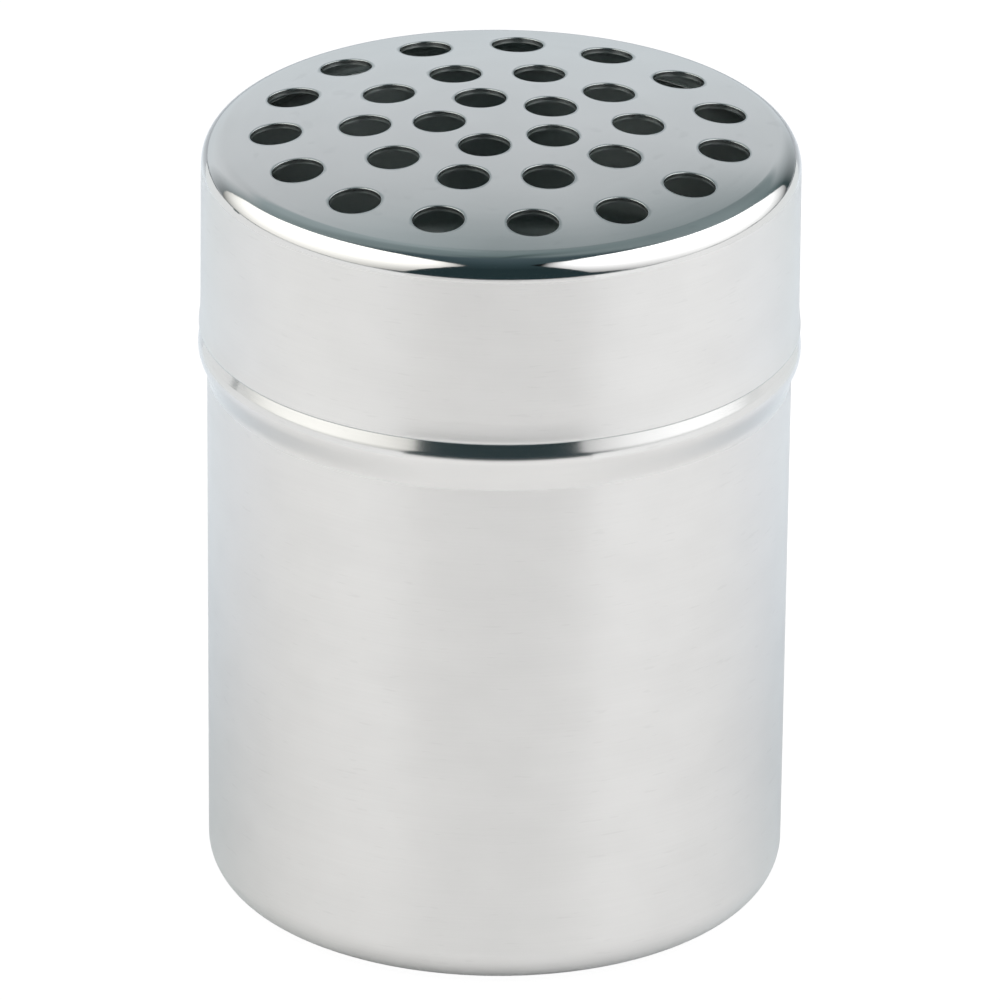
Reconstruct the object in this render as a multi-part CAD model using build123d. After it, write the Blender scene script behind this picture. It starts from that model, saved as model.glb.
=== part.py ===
from build123d import *
import os
from math import asin, cos, pi, radians, sin, sqrt, tan

os.makedirs("parts", exist_ok=True)

# Spice shaker in stainless sheet: a deep-drawn cup, and a domed lid full of sprinkle holes that
# pushes over the cup's neck and comes to rest on the bead rolled out of the cup's wall.
# Millimetres, +Z up, origin at the centre of the base. Radii are of the sheet's outer side.

# Lid
lid_r = 34.74               # skirt
lid_wall = 0.7              # sheet
lid_height = 25.5           # top of the crown to the skirt's lower edge
lid_rim_fillet = 3.2        # corner between crown and skirt
lid_mouth_flare = 0.18      # how much wider the skirt is at its mouth, to slip over the neck
lid_mouth_height = 0.4      # straight edge below the flare
lid_mouth_slope = radians(9.0)
lid_mouth_fillet = 2.0      # of the flare's two bends
lid_edge_break = 0.15       # rounding of the skirt's cut edge
crown_dome_r = 216.0        # shallow dome of the crown

# Sprinkle holes, in rings about the axis
hole_r = 3.0
hole_lip = 0.18             # rounding of each hole's outer edge
inner_ring_r = 7.2
middle_ring_r = 15.8
outer_ring_r = 26.1
inner_ring_count = 5        # each ring outwards has as many holes again
first_hole_angle = 180.0

# Fit of the lid on the cup
lid_clearance = 0.1         # radial play over the neck
lid_seat_gap = 0.03         # under the skirt, above the bead
rim_headroom = 1.0          # from the cup's rim up to the start of the lid's rounded corner

# Cup
cup_wall = 0.6              # sheet
cup_taper = 0.42            # how much smaller the wall's radius is at the base than at the neck
cup_rim_break = 0.15        # rounding of the rim's cut edge
base_corner_r = 4.85        # between base and wall
bead_crest_height = 67.45
bead_proud = 1.06           # crest of the bead beyond the wall
bead_slope = radians(23.0)  # lean of the bead's two flanks from the wall
bead_crest_fillet = 2.7
bead_root_fillet = 3.0

# Base: its middle is pressed up, so that the cup stands on a ring
foot_ring_width = 5.5       # flat ring, from the rounded corner in to the panel's step
base_panel_rise = 0.9
base_panel_slope = radians(35.0)
base_panel_fillet = 1.2

# Radii that follow
lid_inside_r = lid_r - lid_wall
lid_mouth_r = lid_r + lid_mouth_flare
neck_r = lid_inside_r - lid_clearance
cup_base_r = neck_r - cup_taper

# The bead's flanks, carried on past its fillets, meet each other at the apex and the neck at the
# roots.
bead_apex_r = neck_r + bead_proud + bead_crest_fillet * (1 / cos(bead_slope) - 1)
bead_half_height = (bead_apex_r - neck_r) / tan(bead_slope)
bead_root_top = bead_crest_height + bead_half_height + bead_root_fillet * tan(bead_slope / 2)


def seat_height():
    """Height at which the upper side of the bead is as wide as the inside of the lid's mouth."""
    mouth_inside_r = lid_mouth_r - lid_wall
    play = mouth_inside_r - neck_r
    if play < bead_root_fillet * (1 - cos(bead_slope)):
        return bead_root_top - sqrt(bead_root_fillet**2 - (bead_root_fillet - play) ** 2)
    return bead_crest_height + (bead_apex_r - mouth_inside_r) / tan(bead_slope)


# Heights that follow
lid_edge_height = seat_height() + lid_seat_gap
overall_height = lid_edge_height + lid_height
dome_centre_height = overall_height - crown_dome_r
crown_lean = asin((lid_r - lid_rim_fillet) / (crown_dome_r - lid_rim_fillet))    # at its edge
rim_fillet_height = dome_centre_height + (crown_dome_r - lid_rim_fillet) * cos(crown_lean)
cup_rim_height = rim_fillet_height - rim_headroom


def edge_break(size, wall):
    """Rounding of a cut edge, small enough for the sheet's two edges to keep a flat between."""
    return min(size, 0.4 * wall)


def sheet_of_revolution(outline, wall, inner_side):
    """Sheet of one thickness, turned about Z from the outline of its outer side."""
    section = make_face(offset(outline, amount=wall, side=inner_side, closed=True).edges())
    return revolve(Plane.XZ * section, Axis.Z, 360)


def cup():
    """Drawn cup: raised base panel, foot ring, rounded corner, wall, bead and plain neck."""
    step_r = cup_base_r - base_corner_r - foot_ring_width
    panel_r = step_r - base_panel_rise / tan(base_panel_slope)
    corners = [
        (panel_r, base_panel_rise, base_panel_fillet),
        (step_r, 0, base_panel_fillet),
        (cup_base_r, 0, base_corner_r),
        (neck_r, bead_crest_height - bead_half_height, bead_root_fillet),
        (bead_apex_r, bead_crest_height, bead_crest_fillet),
        (neck_r, bead_crest_height + bead_half_height, bead_root_fillet),
    ]
    points = [(r, z) for r, z, _ in corners]
    outline = FilletPolyline(
        (0, base_panel_rise),
        *points,
        (neck_r, cup_rim_height),
        radius=[size for _, _, size in corners],
    )
    shape = sheet_of_revolution(outline, cup_wall, Side.LEFT)
    rim_edges = shape.edges().group_by(Axis.Z)[-1]
    return fillet(rim_edges, edge_break(cup_rim_break, cup_wall))


def lid_shell():
    """Domed crown, rounded rim and straight skirt with a slightly wider mouth, in one sheet."""
    fillet_centre_r = lid_r - lid_rim_fillet

    def on_crown(lean):
        return (crown_dome_r * sin(lean), dome_centre_height + crown_dome_r * cos(lean))

    def on_rim(lean):
        return (
            fillet_centre_r + lid_rim_fillet * sin(lean),
            rim_fillet_height + lid_rim_fillet * cos(lean),
        )

    skirt_lean = pi / 2
    crown = ThreePointArc(on_crown(0), on_crown(crown_lean / 2), on_crown(crown_lean))
    rim_middle = (crown_lean + skirt_lean) / 2
    rim = ThreePointArc(on_rim(crown_lean), on_rim(rim_middle), on_rim(skirt_lean))
    flare_bottom = lid_edge_height + lid_mouth_height
    flare_top = flare_bottom + lid_mouth_flare / tan(lid_mouth_slope)
    skirt = FilletPolyline(
        on_rim(skirt_lean),
        (lid_r, flare_top),
        (lid_mouth_r, flare_bottom),
        (lid_mouth_r, lid_edge_height),
        radius=lid_mouth_fillet,
    )
    shape = sheet_of_revolution(Wire([crown, rim, *skirt.edges()]), lid_wall, Side.RIGHT)
    skirt_edges = shape.edges().group_by(Axis.Z)[0]
    return fillet(skirt_edges, edge_break(lid_edge_break, lid_wall))


def hole_planes():
    """A plane on the crown's outer side at each sprinkle hole, its Z pointing out of the hole."""
    planes = []
    for step, ring_r in enumerate((inner_ring_r, middle_ring_r, outer_ring_r), start=1):
        count = step * inner_ring_count
        lean = asin(ring_r / crown_dome_r)
        for index in range(count):
            turn = radians(first_hole_angle + index * 360 / count)
            out = Vector(sin(lean) * cos(turn), sin(lean) * sin(turn), cos(lean))
            origin = Vector(0, 0, dome_centre_height) + out * crown_dome_r
            planes.append(Plane(origin=origin, z_dir=out))
    return planes


def outer_hole_edges(shape):
    """The holes' outer edges: on the crown's outer sphere, and one hole radius off a hole's axis."""
    tolerance = 0.001
    dome_centre = Vector(0, 0, dome_centre_height)
    found = []
    for edge in shape.edges():
        middle = edge @ 0.5
        if abs((middle - dome_centre).length - crown_dome_r) > tolerance:
            continue
        for plane in hole_planes():
            local = plane.to_local_coords(middle)
            if abs(Vector(local.X, local.Y, 0).length - hole_r) < tolerance:
                found.append(edge)
                break
    return found


def lid():
    """Lid with its sprinkle holes, each square to the dome and rounded at its outer edge."""
    punch = Cylinder(hole_r, 6 * lid_wall)
    shape = lid_shell() - [plane * punch for plane in hole_planes()]
    return fillet(outer_hole_edges(shape), edge_break(hole_lip, lid_wall))


export_step(cup(), "parts/shaker_cup.step")
export_step(lid(), "parts/sprinkle_lid.step")

print(f"overall height {overall_height:.2f}, lid edge at {lid_edge_height:.2f}")
print(f"widest at the bead {2 * (neck_r + bead_proud):.2f}, neck {2 * neck_r:.2f}")
print(f"cup rim at {cup_rim_height:.2f}, lid must rise {cup_rim_height - lid_edge_height:.2f}")
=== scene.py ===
from math import asin, cos, pi, radians, sin, tan

import bpy
import numpy as np
from mathutils import Matrix, Vector


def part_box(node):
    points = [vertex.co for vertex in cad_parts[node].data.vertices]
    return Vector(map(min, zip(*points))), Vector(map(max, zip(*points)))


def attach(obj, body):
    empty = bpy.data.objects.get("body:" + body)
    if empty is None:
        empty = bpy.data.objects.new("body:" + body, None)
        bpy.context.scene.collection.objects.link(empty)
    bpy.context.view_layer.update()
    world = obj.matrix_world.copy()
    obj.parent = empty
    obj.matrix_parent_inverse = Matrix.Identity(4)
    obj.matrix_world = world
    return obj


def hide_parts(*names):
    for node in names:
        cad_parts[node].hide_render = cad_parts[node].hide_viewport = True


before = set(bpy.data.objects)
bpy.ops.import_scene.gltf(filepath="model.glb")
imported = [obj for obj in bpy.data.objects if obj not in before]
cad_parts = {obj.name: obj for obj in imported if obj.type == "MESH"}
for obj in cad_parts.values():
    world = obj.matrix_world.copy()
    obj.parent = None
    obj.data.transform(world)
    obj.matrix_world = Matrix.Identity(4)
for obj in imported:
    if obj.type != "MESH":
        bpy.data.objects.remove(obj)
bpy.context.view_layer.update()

mm = 0.001


# shared mesh tools. A run is a table with one row for each point of an outline: radius, height and the
# two parts of its normal. A grid's table has a row for each point in space: place, normal and two
# marks, for the sheet's inner side and for its cut edges.

def arcRun(centre, radius, start, stop, steps):
    # a circle's arc: centre plus radius times cosine and sine of the angle, with the normal outwards
    angle = np.linspace(start, stop, steps + 1)
    way = np.stack([np.cos(angle), np.sin(angle)], axis=1)
    return np.hstack([np.asarray(centre) + radius * way, way])


def straightRun(start, stop, steps):
    # evenly spaced points from start to stop, with the normal on the right of that way
    share = np.linspace(0, 1, steps + 1)[:, None]
    start, stop = np.asarray(start, float), np.asarray(stop, float)
    along = (stop - start) / np.linalg.norm(stop - start)
    normal = np.array([along[1], -along[0]])
    return np.hstack([start + (stop - start) * share, np.tile(normal, (steps + 1, 1))])


def roundedRun(corners, stepSize, arcStep):
    # straight runs between corners of (radius, height, fillet), joined by arcs tangent to both
    runs = []
    flat = np.array([corner[:2] for corner in corners], float)
    here = flat[0]
    for index in range(1, len(corners)):
        there = flat[index]
        along = (there - flat[index - 1]) / np.linalg.norm(there - flat[index - 1])
        last = index == len(corners) - 1
        stop = there
        if not last:
            onward = (flat[index + 1] - there) / np.linalg.norm(flat[index + 1] - there)
            turn = np.arctan2(along[0] * onward[1] - along[1] * onward[0], along @ onward)
            fillet = corners[index][2]
            stop = there - along * fillet * np.tan(abs(turn) / 2)
        runs.append(straightRun(here, stop, max(2, int(np.ceil(np.linalg.norm(stop - here) / stepSize)))))
        if not last:
            side = np.sign(turn)
            centre = stop + np.array([-along[1], along[0]]) * fillet * side
            first = np.arctan2(*(stop - centre)[::-1])
            bend = arcRun(centre, fillet, first, first + turn, max(3, int(abs(turn) / arcStep)))
            bend[:, 2:] *= side
            runs.append(bend[1:-1])
            here = bend[-1, :2]
    return np.concatenate(runs)


def otherSide(run, wall):
    # the sheet's inner side: every point moved one wall against its normal, in the opposite order
    moved = run.copy()
    moved[:, :2] -= wall * run[:, 2:]
    moved[:, 2:] *= -1
    return moved[::-1]


def markRun(run, inside=0.0, cut=0.0):
    # the same two marks for every point
    return np.hstack([run, np.tile([inside, cut], (len(run), 1))])


def gridFaces(rows, columns):
    # four-sided faces of a grid that closes on itself along its columns
    row, column = np.meshgrid(np.arange(rows - 1), np.arange(columns), indexing="ij")
    nextColumn = (column + 1) % columns
    corners = [row * columns + column, row * columns + nextColumn,
               (row + 1) * columns + nextColumn, (row + 1) * columns + column]
    return np.stack(corners, axis=2).reshape(-1, 4)


def lathe(run, turns):
    # each point is turned about Z: x = radius cos t, y = radius sin t, z = height
    angle = np.arange(turns) * 2 * pi / turns
    c, s = np.cos(angle), np.sin(angle)
    r, z, outward, upward, inside, cut = (run[:, k, None] * np.ones(turns) for k in range(6))
    table = np.stack([r * c, r * s, z, outward * c, outward * s, upward, inside, cut], axis=2)
    return table.reshape(-1, table.shape[2]), gridFaces(len(run), turns)


def joinGrids(grids):
    # one table and one list of faces from several grids, with points in one place made one
    table = np.concatenate([rows for rows, _ in grids])
    starts = np.cumsum([0] + [len(rows) for rows, _ in grids[:-1]])
    faces = np.concatenate([faces + start for (_, faces), start in zip(grids, starts)])
    weld, shift = 0.0001 * mm, 0.37    # the shift keeps round lengths off the edges of the weld's cells
    key = np.floor(table[:, :3] / weld + shift).astype(np.int64)
    _, first, same = np.unique(key, axis=0, return_index=True, return_inverse=True)
    return table[first], same.ravel()[faces]


def placeObject(name, data):
    placed = bpy.data.objects.new(name, data)
    bpy.context.scene.collection.objects.link(placed)
    return placed


def meshPiece(name, table, faces, material):
    # faces turn to look the way of their corners' normals, and lose a corner that repeats another
    points, normals = table[:, :3], table[:, 3:6]
    a, b, c, d = (points[faces[:, k]] for k in range(4))
    looks = np.cross(c - a, d - b)
    backwards = np.einsum("ij,ij->i", looks, normals[faces].sum(axis=1)) < 0
    faces = np.where(backwards[:, None], faces[:, ::-1], faces)
    kept = faces != np.roll(faces, 1, axis=1)
    real = kept.sum(axis=1) > 2
    sizes, loops = kept[real].sum(axis=1), faces[real][kept[real]]
    mesh = bpy.data.meshes.new(name)
    mesh.vertices.add(len(points))
    mesh.vertices.foreach_set("co", points.astype(np.float32).ravel())
    mesh.loops.add(len(loops))
    mesh.loops.foreach_set("vertex_index", loops.astype(np.int32))
    mesh.polygons.add(len(sizes))
    mesh.polygons.foreach_set("loop_start", (np.cumsum(sizes) - sizes).astype(np.int32))
    mesh.polygons.foreach_set("use_smooth", np.ones(len(sizes), bool))
    mesh.update(calc_edges=True)
    mesh.validate()
    mesh.normals_split_custom_set_from_vertices(normals.tolist())
    for column, mark in enumerate(("inside", "cut"), start=6):
        values = mesh.attributes.new(mark, "FLOAT", "POINT")
        values.data.foreach_set("value", table[:, column].astype(np.float32))
    mesh.materials.append(material)
    return placeObject(name, mesh)


# shared material tools

def newMaterial(name):
    material = bpy.data.materials.new(name)
    material.use_nodes = True
    material.node_tree.nodes.clear()
    return material, material.node_tree


def addNode(tree, kind, inputs=None, **settings):
    # an input is another node's socket, which gets linked, or a plain value
    node = tree.nodes.new(kind)
    for key, value in settings.items():
        setattr(node, key, value)
    for key, value in (inputs or {}).items():
        if isinstance(value, bpy.types.NodeSocket):
            tree.links.new(value, node.inputs[key])
        else:
            node.inputs[key].default_value = value
    return node


def calc(tree, operation, *values):
    return addNode(tree, "ShaderNodeMath", dict(enumerate(values)), operation=operation).outputs[0]


def remap(tree, value, start, stop, low=0.0, high=1.0, kind="LINEAR"):
    # value's way from start to stop, carried to low and high and held there beyond them
    return addNode(tree, "ShaderNodeMapRange", {
        "Value": value, "From Min": start, "From Max": stop, "To Min": low, "To Max": high},
        interpolation_type=kind).outputs[0]


def setSurface(tree, shader):
    addNode(tree, "ShaderNodeOutputMaterial", {"Surface": shader.outputs[0]})


def blend(tree, share, first, second):
    return addNode(tree, "ShaderNodeMix", {0: share, 2: first, 3: second}).outputs[0]


def blendColours(tree, share, first, second):
    return addNode(tree, "ShaderNodeMix", {0: share, 6: first, 7: second}, data_type="RGBA").outputs[2]


def setStops(ramp, places):
    # a colour ramp's stops: (position, colour)
    stops = ramp.color_ramp.elements
    while len(stops) < len(places):
        stops.new(0.5)
    for stop, (position, colour) in zip(stops, places):
        stop.position, stop.color = position, colour


# lid

lidShape = dict(
    wall=0.7 * mm,
    rimFillet=3.2 * mm,
    mouthFlare=0.18 * mm,      # how much wider the skirt is at its mouth
    mouthHeight=0.4 * mm,      # straight edge below the flare
    mouthSlope=radians(7.5),
    mouthFillet=2.0 * mm,      # of the flare's lower bend
    mouthTopFillet=18.0 * mm,  # of its upper bend
    crownDome=216.0 * mm,
    edgeBreak=0.15 * mm,
    holeRadius=3.0 * mm,
    holeLip=0.12 * mm,         # rounding outside
    holeUnderLip=0.08 * mm,    # rounding inside
    ringRadii=(7.2 * mm, 15.8 * mm, 26.1 * mm),
    ringCounts=(5, 10, 15),
    bandEdges=(3.0 * mm, 11.5 * mm, 20.95 * mm, 30.4 * mm),    # radii between the rings of holes
    firstHole=pi,
    # fineness of the mesh
    turns=240,                 # a multiple of twice every ring's count
    sideSteps=12,              # of a hole's patch, along the radius
    patchRows=(0.1, 0.3, 0.6, 1.0),    # shares of the way from a hole's lip to its patch's edge
    underLipSteps=4,
    lipSteps=6,
    edgeSteps=5,
    rimSteps=28,
    crownSteps=3,
    straightStep=1.5 * mm,
    bendStep=radians(2.0),
)


def overSphere(planar, axes, radius):
    # planar distances from a hole's axis, carried along its own axes onto a sphere about the dome's
    # centre: height = root of the radius squared less the distance squared
    across, along, out = axes
    height = np.sqrt(radius**2 - (planar**2).sum(axis=-1))
    return planar[..., :1] * across + planar[..., 1:] * along + height[..., None] * out


def crownBand(shape, ring, domeCentre):
    # the part of the crown round one ring of holes, as one patch for each hole. A patch runs round its
    # hole by u and goes by v from the crown's inside, over the hole's rounded wall, to its outside.
    outside, inside = shape["crownDome"], shape["crownDome"] - shape["wall"]
    count, ringRadius = shape["ringCounts"][ring], shape["ringRadii"][ring]
    low, high = shape["bandEdges"][ring], shape["bandEdges"][ring + 1]
    half = pi / count
    arcSteps, sideSteps = shape["turns"] // count, shape["sideSteps"]
    upward = np.linspace(low, high, sideSteps + 1)[:-1]
    sweep = np.linspace(-half, half, arcSteps + 1)[:-1]
    edgeRadius = np.concatenate([
        upward, np.full(arcSteps, high), (low + high) - upward, np.full(arcSteps, low)])
    edgeAngle = np.concatenate([np.full(sideSteps, -half), sweep, np.full(sideSteps, half), -sweep])
    edge = np.stack([edgeRadius * np.cos(edgeAngle), edgeRadius * np.sin(edgeAngle),
                     np.sqrt(outside**2 - edgeRadius**2)], axis=1) / outside
    lean = asin(ringRadius / outside)
    out = np.array([sin(lean), 0, cos(lean)])
    across = np.array([cos(lean), 0, -sin(lean)])
    along = np.array([0.0, 1.0, 0.0])
    seen = np.arctan2(edge @ along, edge @ across)
    around = np.stack([np.cos(seen), np.sin(seen)], axis=1)

    def sheetRows(start, sphere, shares, side):
        # from the hole's edge out to the patch's edge, on a sphere
        inner = overSphere(around * start, (across, along, out), sphere) / sphere
        way = (1 - shares[:, None, None]) * inner + shares[:, None, None] * edge
        way /= np.linalg.norm(way, axis=2)[:, :, None]
        return np.concatenate([way * sphere, way * side], axis=2)

    hole, lip, underLip = shape["holeRadius"], shape["holeLip"], shape["holeUnderLip"]
    floor = np.sqrt(inside**2 - (hole + underLip)**2)
    roof = np.sqrt(outside**2 - (hole + lip)**2)
    wall = np.concatenate([
        arcRun((hole + underLip, floor + underLip), underLip, 1.5 * pi, pi, shape["underLipSteps"]),
        arcRun((hole + lip, roof - lip), lip, pi, pi / 2, shape["lipSteps"])])[:, :, None, None]
    turned = around[:, :1] * across + around[:, 1:] * along
    wallRows = np.concatenate([
        wall[:, 0] * turned + wall[:, 1] * out, wall[:, 2] * turned + wall[:, 3] * out], axis=2)
    shares = np.array(shape["patchRows"])
    underRows = sheetRows(hole + underLip, inside, shares[::-1], -1)
    overRows = sheetRows(hole + lip, outside, shares, 1)
    patch = np.concatenate([underRows, wallRows, overRows])
    insideRows = len(underRows) + shape["underLipSteps"] + 1
    cutRows = len(patch) - insideRows - len(overRows)
    marks = np.repeat([[1, 0], [0, 1], [0, 0]], [insideRows, cutRows, len(overRows)], axis=0)

    turn = shape["firstHole"] + np.arange(count) * 2 * half
    spin = np.zeros((count, 3, 3))
    spin[:, 0, 0] = spin[:, 1, 1] = np.cos(turn)
    spin[:, 0, 1], spin[:, 1, 0] = -np.sin(turn), np.sin(turn)
    spin[:, 2, 2] = 1
    rows, columns = patch.shape[:2]
    points = np.einsum("cij,rpj->crpi", spin, patch[..., :3]) + np.array([0, 0, domeCentre])
    normals = np.einsum("cij,rpj->crpi", spin, patch[..., 3:])
    marks = np.broadcast_to(marks[None, :, None, :], (count, rows, columns, 2))
    table = np.concatenate([points, normals, marks], axis=3)
    faces = gridFaces(rows, columns)[None] + np.arange(count)[:, None, None] * rows * columns
    return table.reshape(-1, table.shape[3]), faces.reshape(-1, 4)


def domeRun(start, stop, sphere, domeCentre, steps):
    # the crown between two radii, on a sphere about the dome's centre
    r = np.linspace(start, stop, steps + 1)
    height = np.sqrt(sphere**2 - r**2)
    return np.stack([r, domeCentre + height, r / sphere, height / sphere], axis=1)


def makeLid(shape, material):
    # the skirt, rim and crown's edge are one outline turned about Z, the crown is its bands of holes
    low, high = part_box("sprinkle_lid")
    mouth, top, edge = high[0], high[2], low[2]
    radius = mouth - shape["mouthFlare"]
    wall, fillet, corner = shape["wall"], shape["rimFillet"], shape["edgeBreak"]
    dome, bands = shape["crownDome"], shape["bandEdges"]
    domeCentre = top - dome
    lean = asin((radius - fillet) / (dome - fillet))
    filletHeight = domeCentre + (dome - fillet) * cos(lean)
    flareBottom = edge + shape["mouthHeight"]
    flareTop = flareBottom + shape["mouthFlare"] / tan(shape["mouthSlope"])

    edgeIn = arcRun(
        (mouth - wall + corner, edge + corner), corner, pi, 1.5 * pi, shape["edgeSteps"])
    edgeOut = arcRun((mouth - corner, edge + corner), corner, 1.5 * pi, 2 * pi, shape["edgeSteps"])
    skirt = roundedRun([
        (mouth, edge + corner, 0),
        (mouth, flareBottom, shape["mouthFillet"]),
        (radius, flareTop, shape["mouthTopFillet"]),
        (radius, filletHeight, 0)], shape["straightStep"], shape["bendStep"])
    rim = arcRun((radius - fillet, filletHeight), fillet, 0, pi / 2 - lean, shape["rimSteps"])
    crown = domeRun(dome * sin(lean), bands[-1], dome, domeCentre, shape["crownSteps"])
    outer = np.concatenate([skirt, rim, crown])
    profile = np.concatenate([
        markRun(otherSide(outer, wall), inside=1), markRun(edgeIn, cut=1), markRun(edgeOut, cut=1),
        markRun(outer)])
    middle = domeRun(0, bands[0], dome, domeCentre, shape["crownSteps"])
    turns = shape["turns"]
    grids = [lathe(profile, turns), lathe(markRun(middle), turns),
             lathe(markRun(otherSide(middle, wall), inside=1), turns)]
    grids += [crownBand(shape, ring, domeCentre) for ring in range(len(shape["ringCounts"]))]
    lid = meshPiece("lidShell", *joinGrids(grids), material)
    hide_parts("sprinkle_lid")
    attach(lid, "lid")
    print("lid made:", len(lid.data.vertices), "points,", len(lid.data.polygons), "faces")


# cup

cupShape = dict(
    wall=0.6 * mm,
    neckRadius=33.94 * mm,
    taper=0.42 * mm,           # how much smaller the radius is at the base
    rimBreak=0.15 * mm,
    baseCorner=4.85 * mm,
    crestHeight=67.45 * mm,    # of the bead
    beadSlope=radians(23.0),
    crestFillet=2.7 * mm,
    rootFillet=3.0 * mm,
    footRing=5.5 * mm,
    panelRise=0.9 * mm,
    panelSlope=radians(35.0),
    panelFillet=1.2 * mm,
    # fineness of the mesh
    turns=360,
    edgeSteps=5,
    straightStep=2.5 * mm,
    bendStep=radians(3.0),
)


def cupCorners(shape, crestRadius, rim):
    # corners of the sheet's outer side from the middle of the base to the rim, with their fillets
    neck, slope = shape["neckRadius"], shape["beadSlope"]
    apex = crestRadius + shape["crestFillet"] * (1 / cos(slope) - 1)
    half = (apex - neck) / tan(slope)
    base = neck - shape["taper"]
    step = base - shape["baseCorner"] - shape["footRing"]
    panel = step - shape["panelRise"] / tan(shape["panelSlope"])
    crest = shape["crestHeight"]
    return [
        (0, shape["panelRise"], 0),
        (panel, shape["panelRise"], shape["panelFillet"]),
        (step, 0, shape["panelFillet"]),
        (base, 0, shape["baseCorner"]),
        (neck, crest - half, shape["rootFillet"]),
        (apex, crest, shape["crestFillet"]),
        (neck, crest + half, shape["rootFillet"]),
        (neck, rim - shape["rimBreak"], 0),
    ]


def makeCup(shape, material):
    # both sides of the sheet and its cut rim are one outline turned about Z
    low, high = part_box("shaker_cup")
    rim, corner, wall, neck = high[2], shape["rimBreak"], shape["wall"], shape["neckRadius"]
    outer = roundedRun(cupCorners(shape, high[0], rim), shape["straightStep"], shape["bendStep"])
    rimOut = arcRun((neck - corner, rim - corner), corner, 0, pi / 2, shape["edgeSteps"])
    rimIn = arcRun((neck - wall + corner, rim - corner), corner, pi / 2, pi, shape["edgeSteps"])
    profile = np.concatenate([
        markRun(outer), markRun(rimOut, cut=1), markRun(rimIn, cut=1),
        markRun(otherSide(outer, wall), inside=1)])
    cup = meshPiece("cupBody", *joinGrids([lathe(profile, shape["turns"])]), material)
    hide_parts("shaker_cup")
    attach(cup, "cup")
    print("cup made:", len(cup.data.vertices), "points,", len(cup.data.polygons), "faces")


# steel

steelLook = dict(
    colour=(0.80, 0.80, 0.795),
    # painted shade: the sheet's inner side is coloured darker and greener than the steel outside
    insideShadeColour=(0.59, 0.65, 0.645),
    cutColour=(0.50, 0.53, 0.53),
    edgeTint=(0.93, 0.985, 1.0),    # at grazing angles
    brushing=0.74,           # anisotropy, the highlights drawn out across the brushing
    brushingTurn=0.25,       # of a full turn, from the way round the axis
    wallRoughness=0.32,
    roughnessChange=0.04,    # either way, from streak to streak
    crownRoughness=0.14,
    rimRoughness=0.07,
    beadRoughness=0.15,
    insideRoughness=0.40,
    cutRoughness=0.25,
    # where those smoother bands start and end, up from the lid's top or the bead's crest, and their blur
    crownBand=(-2.3 * mm, 1.0 * mm, 0.3 * mm),
    rimBand=(-5.1 * mm, -2.4 * mm, 0.4 * mm),
    beadBand=(-3.0 * mm, 4.0 * mm, 1.0 * mm),
    # noises: grains to a metre along X, Y and Z, and detail
    streaks=((60, 60, 4500), 3.0),
    smears=((90, 90, 260), 2.0),
    scratches=((330, 330, 2400), 1.0),
    clouds=((130, 130, 150), 1.0),
    # which of their values count
    roughnessRange=(0.30, 0.70),
    shadeRange=(0.35, 0.65),
    scratchRange=(0.68, 0.75),
    streakDepth=0.02 * mm,
    streakBump=0.15,
    shadeChange=0.03,        # of the colour, from streak to streak
    scratchShade=0.035,      # of the short marks left by wiping
    clouding=0.02,           # slow changes of the colour
)


def steelMaterial(name, look, bands):
    # brushed round the axis, and smoother in the given bands: (height that the band goes by, its name)
    material, tree = newMaterial(name)
    place = addNode(tree, "ShaderNodeTexCoord").outputs["Object"]

    def noise(grain, detail):
        stretched = addNode(tree, "ShaderNodeMapping", {"Vector": place, "Scale": grain}).outputs[0]
        return addNode(tree, "ShaderNodeTexNoise", {
            "Vector": stretched, "Scale": 1.0, "Detail": detail}).outputs["Fac"]

    def mark(attribute):
        return addNode(tree, "ShaderNodeAttribute", attribute_name=attribute).outputs["Fac"]

    streaks, smears = noise(*look["streaks"]), noise(*look["smears"])
    rough, change = look["wallRoughness"], look["roughnessChange"]
    roughness = remap(tree, streaks, *look["roughnessRange"], rough - change, rough + change)
    height = addNode(tree, "ShaderNodeSeparateXYZ", {"Vector": place}).outputs["Z"]
    for level, band in bands:
        low, high, blur = look[band + "Band"]
        up = remap(tree, height, level + low - blur, level + low)
        down = remap(tree, height, level + high, level + high + blur, 1.0, 0.0)
        within = calc(tree, "MULTIPLY", up, down)
        roughness = blend(tree, within, roughness, look[band + "Roughness"])
    inside, cut = mark("inside"), mark("cut")
    roughness = blend(tree, inside, roughness, look["insideRoughness"])
    roughness = blend(tree, cut, roughness, look["cutRoughness"])

    both = calc(tree, "ADD", calc(tree, "MULTIPLY", streaks, 0.5), calc(tree, "MULTIPLY", smears, 0.5))
    shade = remap(tree, both, *look["shadeRange"], 1 - look["shadeChange"], 1.0)
    peaks = noise(*look["scratches"])
    scratches = remap(tree, peaks, *look["scratchRange"], 1.0, 1 - look["scratchShade"])
    clouds = remap(tree, noise(*look["clouds"]), *look["shadeRange"], 1 - look["clouding"], 1.0)
    shade = calc(tree, "MULTIPLY", shade, calc(tree, "MULTIPLY", scratches, clouds))
    # the inner side takes its painted shade colour, darker and greener than the outer steel
    colour = blendColours(tree, inside, (*look["colour"], 1), (*look["insideShadeColour"], 1))
    colour = blendColours(tree, cut, colour, (*look["cutColour"], 1))
    shaded = addNode(tree, "ShaderNodeVectorMath", {0: colour, "Scale": shade}, operation="SCALE")

    bump = addNode(tree, "ShaderNodeBump", {
        "Height": streaks, "Strength": look["streakBump"], "Distance": look["streakDepth"]}).outputs[0]
    roundAxis = addNode(tree, "ShaderNodeTangent", direction_type="RADIAL", axis="Z").outputs[0]
    setSurface(tree, addNode(tree, "ShaderNodeBsdfPrincipled", {
        "Base Color": shaded.outputs[0], "Metallic": 1.0, "Roughness": roughness, "Normal": bump,
        "Specular Tint": (*look["edgeTint"], 1), "Anisotropic": look["brushing"],
        "Anisotropic Rotation": look["brushingTurn"], "Tangent": roundAxis}))
    return material


# studio: floor, two tall panels of soft light, low screens, and what the steel sees round them

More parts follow.
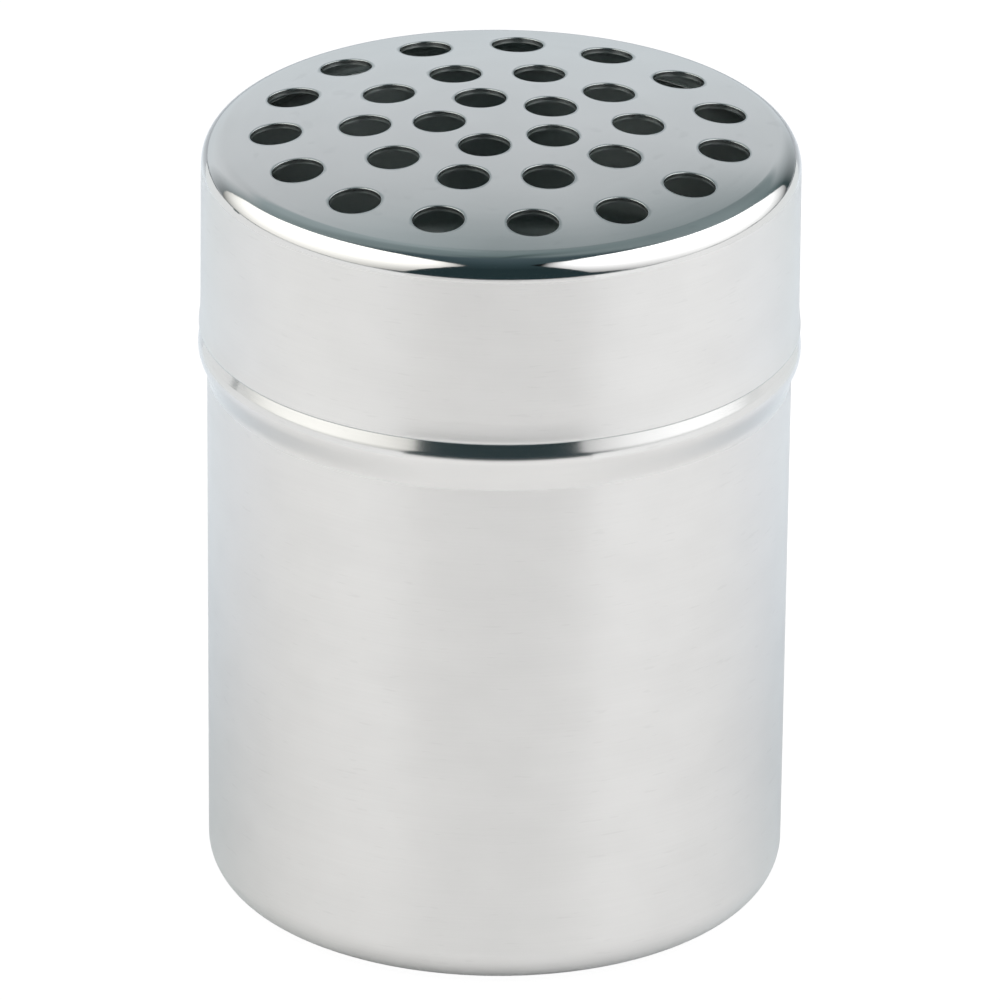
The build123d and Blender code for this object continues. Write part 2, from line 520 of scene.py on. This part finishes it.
def direction(azimuth, elevation):
    # x = sin a cos e, y = -cos a cos e, z = sin e, so azimuth 0 is the camera's side
    a, e = radians(azimuth), radians(elevation)
    return Vector((sin(a) * cos(e), -cos(a) * cos(e), sin(e)))


def flatCard(name, corners, material):
    mesh = bpy.data.meshes.new(name)
    mesh.from_pydata(corners, [], [tuple(range(len(corners)))])
    mesh.materials.append(material)
    card = placeObject(name, mesh)
    return card


def setGlow(tree, tint, strength):
    setSurface(tree, addNode(tree, "ShaderNodeEmission", {"Color": (*tint, 1), "Strength": strength}))


floorLook = dict(
    halfWidth=3.0,
    colour=(0.985, 0.98, 0.982),
    # painted shade: shares of that colour at distances from the axis, on the camera's side and behind the
    # object, darkest by the base and, behind it, darker again far away
    front=((0.031, 0.72), (0.036, 0.92), (0.10, 0.90), (0.17, 0.935), (0.23, 1.0)),
    behind=((0.05, 0.70), (0.14, 0.95), (0.25, 0.95), (0.42, 0.72)),
    # cool tint of the painted shade behind the object
    behindShadeTint=(0.97, 0.985, 1.03),
    turn=(-0.02, 0.06),      # along Y, from one to the other
    glow=1.07,
    glowShare=0.90,          # seen by the camera, the rest is lit floor with the object's shadow
)


def floorMaterial(look):
    # colour = the floor's own, times its share at the distance from the axis: painted shade round the
    # base, on top of the lit floor's own shadow
    material, tree = newMaterial("paleFloor")
    cameraRay = addNode(tree, "ShaderNodeLightPath").outputs["Is Camera Ray"]
    place = addNode(tree, "ShaderNodeTexCoord").outputs["Object"]
    along = addNode(tree, "ShaderNodeSeparateXYZ", {"Vector": place}).outputs["Y"]
    away = addNode(tree, "ShaderNodeVectorMath", {0: place}, operation="LENGTH").outputs["Value"]

    def shares(places, tint):
        ramp = addNode(tree, "ShaderNodeValToRGB", {"Fac": away})
        setStops(ramp, [(distance, (*(share * part for part in tint), 1)) for distance, share in places])
        return ramp.outputs[0]

    # painted shade: the two ramps of darker floor round the base, blended from the camera's side to
    # behind
    turn = remap(tree, along, *look["turn"])
    shade = blendColours(
        tree, turn, shares(look["front"], (1, 1, 1)), shares(look["behind"], look["behindShadeTint"]))
    colour = addNode(tree, "ShaderNodeVectorMath", {0: shade, 1: look["colour"]}, operation="MULTIPLY")
    matt = addNode(tree, "ShaderNodeBsdfDiffuse", {"Color": colour.outputs[0]}).outputs[0]
    glow = addNode(tree, "ShaderNodeEmission", {"Color": (1, 1, 1, 1), "Strength": look["glow"]})
    share = calc(tree, "MULTIPLY", cameraRay, look["glowShare"])
    setSurface(tree, addNode(tree, "ShaderNodeMixShader", {0: share, 1: matt, 2: glow.outputs[0]}))
    return material


def makeFloor(look):
    side = look["halfWidth"]
    corners = [(-side, -side, 0), (side, -side, 0), (side, side, 0), (-side, side, 0)]
    flatCard("floor", corners, floorMaterial(look))
    print("floor made")


# Each panel is a flat upright card, square to its facing azimuth. Its corners are (azimuth, elevation)
# in degrees seen from the eye, a point on the axis near the bead, along the card's lower edge and its
# upper edge, each from the camera's side to the far side.
leftPanel = dict(
    eyeHeight=0.067,
    facing=-72,
    lower=((-37, 5), (-57, -1), (-127, -1)),
    upper=((-17, 53), (-66, 64), (-107, 48.5), (-117, 38.5), (-126, 29.5), (-129, 14)),
    distance=0.55,
    peak=2.20,
    fall=(2.2, 2.2, 1.8),
    brightest=(-90, 55),
    tint=(1.0, 0.99, 0.95),
)
rightPanel = dict(
    eyeHeight=0.067,
    facing=72,
    lower=((31, 10), (53, -1), (131, -1)),
    upper=((13, 57), (66, 66), (107, 49), (117, 40), (126, 31.5), (133, 13)),
    distance=0.55,
    peak=2.50,
    fall=(2.2, 2.2, 2.0),
    brightest=(95, 55),
    tint=(1.0, 1.0, 1.0),
)


def panelMaterial(name, look, brightest):
    # strength = peak less fall times the squared distance from the brightest place, summed over X, Y, Z
    material, tree = newMaterial(name)
    place = addNode(tree, "ShaderNodeTexCoord").outputs["Object"]

    def vectorMath(operation, first, second, output):
        return addNode(
            tree, "ShaderNodeVectorMath", {0: first, 1: second}, operation=operation).outputs[output]

    away = vectorMath("SUBTRACT", place, brightest, "Vector")
    squared = vectorMath("MULTIPLY", away, away, "Vector")
    fallen = vectorMath("DOT_PRODUCT", squared, look["fall"], "Value")
    setGlow(tree, look["tint"], calc(tree, "MAXIMUM", calc(tree, "SUBTRACT", look["peak"], fallen), 0.0))
    return material


def makePanel(name, look):
    # each corner is where its line of sight from the eye meets one upright plane
    eye = Vector((0, 0, look["eyeHeight"]))
    facing = direction(look["facing"], 0)

    def onPlane(azimuth, elevation):
        way = direction(azimuth, elevation)
        return eye + way * (look["distance"] / way.dot(facing))

    material = panelMaterial(name, look, onPlane(*look["brightest"]))
    lower, upper = ([onPlane(*corner) for corner in look[edge]] for edge in ("lower", "upper"))
    flatCard(name, [*lower, *reversed(upper)], material).visible_camera = False
    print(name, "made")


# low pale screens at the object's sides, which only its bright steel sees: they hide the panels' feet
sideScreens = dict(
    radius=0.20,
    height=0.083,
    trim=0.004,                       # dark strip along the top
    spans=((-142, -34), (30, 142)),   # azimuths of the left and the right screen
    levels=((0.92, -0.25), (0.96, -0.5)),    # at the object's middle, and its change along Y
    flag=(-113, -108),                # azimuths of a dark flag that hangs on the left screen
    flagFoot=0.071,
    darkLevel=0.13,
    darkTint=(0.75, 1.0, 1.0),
    columns=109,
)


def screenMaterial(name, tint, level, change=0.0):
    # strength = level plus the change times Y
    material, tree = newMaterial(name)
    place = addNode(tree, "ShaderNodeTexCoord").outputs["Object"]
    along = addNode(tree, "ShaderNodeSeparateXYZ", {"Vector": place}).outputs["Y"]
    setGlow(tree, tint, calc(tree, "MULTIPLY_ADD", along, change, level))
    return material


def makeScreens(look):
    # an arc about the axis for each span: x = radius sin a, y = -radius cos a. The top row of faces is
    # the dark strip, and the row below it is dark where the flag hangs.
    heights = np.array([0, look["flagFoot"], look["height"] - look["trim"], look["height"]])
    columns = look["columns"]
    for side, span, levels in zip(("left", "right"), look["spans"], look["levels"]):
        azimuth = np.linspace(*span, columns)
        points = np.zeros((len(heights), columns, 3))
        points[..., 0] = look["radius"] * np.sin(np.radians(azimuth))
        points[..., 1] = -look["radius"] * np.cos(np.radians(azimuth))
        points[..., 2] = heights[:, None]
        first = (np.arange(len(heights) - 1)[:, None] * columns + np.arange(columns - 1)).ravel()
        faces = np.stack([first, first + 1, first + 1 + columns, first + columns], axis=1)
        hung = (azimuth[:-1] > look["flag"][0]) & (azimuth[:-1] < look["flag"][1])
        dark = np.concatenate([np.zeros(columns - 1), hung, np.ones(columns - 1)])
        mesh = bpy.data.meshes.new(side + "Screen")
        mesh.from_pydata(points.reshape(-1, 3).tolist(), [], faces.tolist())
        mesh.materials.append(screenMaterial(side + "Screen", (1, 1, 1), *levels))
        mesh.materials.append(screenMaterial(side + "ScreenDark", look["darkTint"], look["darkLevel"]))
        mesh.polygons.foreach_set("material_index", dark.astype(np.int32))
        screen = placeObject(side + "Screen", mesh)
        screen.visible_camera = screen.visible_diffuse = screen.visible_shadow = False
    print("screens made")


worldLook = dict(
    fill=(0.95, 0.40),    # on matt surfaces, from the camera's side and from behind the object
    # what bright steel mirrors: (elevation in degrees, level, share of red), straight behind the object,
    # left of that, at the backdrop's sides and on the camera's side
    backdrop=((0, 0.74, 0.97), (12, 0.75, 0.97), (25, 0.68, 0.97), (36, 0.62, 0.96), (39.5, 0.31, 0.84),
              (44, 0.25, 0.82), (56, 0.27, 0.80), (72, 0.24, 0.77), (90, 0.11, 0.68)),
    backdropLeft=((0, 0.74, 0.97), (12, 0.75, 0.97), (25, 0.68, 0.97), (35, 0.57, 0.96),
                  (40, 0.40, 0.84), (52, 0.38, 0.83), (60, 0.28, 0.80), (74, 0.24, 0.77),
                  (90, 0.11, 0.68)),
    sides=((0, 0.06, 0.66), (12, 0.075, 0.68), (22, 0.18, 0.75), (30, 0.25, 0.79), (42, 0.30, 0.81),
           (56, 0.27, 0.81), (81, 0.25, 0.79), (90, 0.11, 0.68)),
    front=((0, 0.036, 0.50), (40, 0.034, 0.50), (60, 0.061, 0.58), (90, 0.11, 0.68)),
    blue=1.03,               # shares of blue, behind the object and on the camera's side
    frontBlue=1.13,
    frontEnd=(-0.1, 0.2),    # Y of the direction, from the camera's side to behind the object
    # azimuths in degrees from straight behind, plus to the right: where the backdrop gets lower, where
    # its left part ends, and its own two ends
    dropAzimuth=(6, 12),
    drop=10.5,               # degrees of elevation
    leftTurn=(-4, 2),
    leftEnd=(-56, -32),
    rightEnd=(15, 44),
)


def makeWorld(look):
    # a matt surface sees a plain fill, bright steel a colour by elevation and azimuth, the camera white
    world = bpy.data.worlds.new("studioWorld")
    bpy.context.scene.world = world
    world.use_nodes = True
    tree = world.node_tree
    tree.nodes.clear()
    way = addNode(tree, "ShaderNodeTexCoord").outputs["Generated"]
    parts = addNode(tree, "ShaderNodeSeparateXYZ", {"Vector": way}).outputs
    angle = calc(tree, "ARCSINE", parts["Z"])
    azimuth = calc(tree, "ARCTAN2", parts["X"], parts["Y"])
    path = addNode(tree, "ShaderNodeLightPath").outputs

    def across(edges, low=0.0, high=1.0):
        return remap(tree, azimuth, radians(edges[0]), radians(edges[1]), low, high)

    def byElevation(levels, height, blue):
        ramp = addNode(tree, "ShaderNodeValToRGB", {"Fac": remap(tree, height, 0.0, pi / 2)})
        setStops(ramp, [(elevation / 90, (level * red, level, level * blue, 1))
                        for elevation, level, red in levels])
        return ramp.outputs[0]

    def background(colour, strength):
        return addNode(tree, "ShaderNodeBackground", {"Color": colour, "Strength": strength}).outputs[0]

    def either(share, first, second):
        return addNode(tree, "ShaderNodeMixShader", {0: share, 1: first, 2: second})

    blue, white = look["blue"], (1, 1, 1, 1)
    lowered = calc(tree, "ADD", angle, across(look["dropAzimuth"], 0.0, radians(look["drop"])))
    straight = blendColours(
        tree, across(look["leftTurn"]), byElevation(look["backdropLeft"], angle, blue),
        byElevation(look["backdrop"], lowered, blue))
    middle = calc(tree, "MULTIPLY", across(look["leftEnd"]), across(look["rightEnd"], 1.0, 0.0))
    behind = blendColours(tree, middle, byElevation(look["sides"], angle, blue), straight)
    front = byElevation(look["front"], angle, look["frontBlue"])
    frontTurn = remap(tree, parts["Y"], *look["frontEnd"], kind="SMOOTHSTEP")
    mirrored = background(blendColours(tree, frontTurn, front, behind), 1.0)
    fill = background(white, remap(tree, parts["Y"], -1.0, 1.0, *look["fill"]))
    shiny = calc(tree, "MAXIMUM", path["Is Glossy Ray"], path["Is Transmission Ray"])
    lit = either(shiny, fill, mirrored).outputs[0]
    seen = either(path["Is Camera Ray"], lit, background(white, 1.0))
    addNode(tree, "ShaderNodeOutputWorld", {"Surface": seen.outputs[0]})
    print("world made")


# camera

cameraPlace = dict(
    azimuth=-2.15,       # degrees round the object from its front
    elevation=24.43,
    roll=0.577,
    distance=2.238,
    aim=43.45 * mm,      # height of the point looked at
    right=-0.2746 * mm,  # that point's place from the middle of the picture
    up=-3.3825 * mm,
    lens=690.9,
    sensor=36.0,
    clip=(0.1, 20.0),
)


def makeCamera(place):
    # back by the distance from the point looked at, then moved in the picture's own plane
    back = direction(place["azimuth"], place["elevation"])
    across = Vector((cos(radians(place["azimuth"])), sin(radians(place["azimuth"])), 0))
    up = back.cross(across)
    roll = radians(place["roll"])
    right = across * cos(roll) + up * sin(roll)
    upright = up * cos(roll) - across * sin(roll)
    data = bpy.data.cameras.new("camera")
    data.lens = place["lens"]
    data.sensor_width = place["sensor"]
    data.clip_start, data.clip_end = place["clip"]
    camera = placeObject("camera", data)
    where = Vector((0, 0, place["aim"])) + back * place["distance"]
    where -= right * place["right"] + upright * place["up"]
    turned = Matrix((right, upright, back)).transposed().to_4x4()
    camera.matrix_world = Matrix.Translation(where) @ turned
    bpy.context.scene.camera = camera
    print("camera made")


makeCamera(cameraPlace)
bpy.context.scene.view_settings.view_transform = "Standard"
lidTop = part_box("sprinkle_lid")[1][2]
lidBands = [(lidTop, "rim"), (lidTop, "crown")]
makeLid(lidShape, steelMaterial("lidSteel", steelLook, lidBands))
makeCup(cupShape, steelMaterial("cupSteel", steelLook, [(cupShape["crestHeight"], "bead")]))
makeFloor(floorLook)
makePanel("leftPanel", leftPanel)
makePanel("rightPanel", rightPanel)
makeScreens(sideScreens)
makeWorld(worldLook)
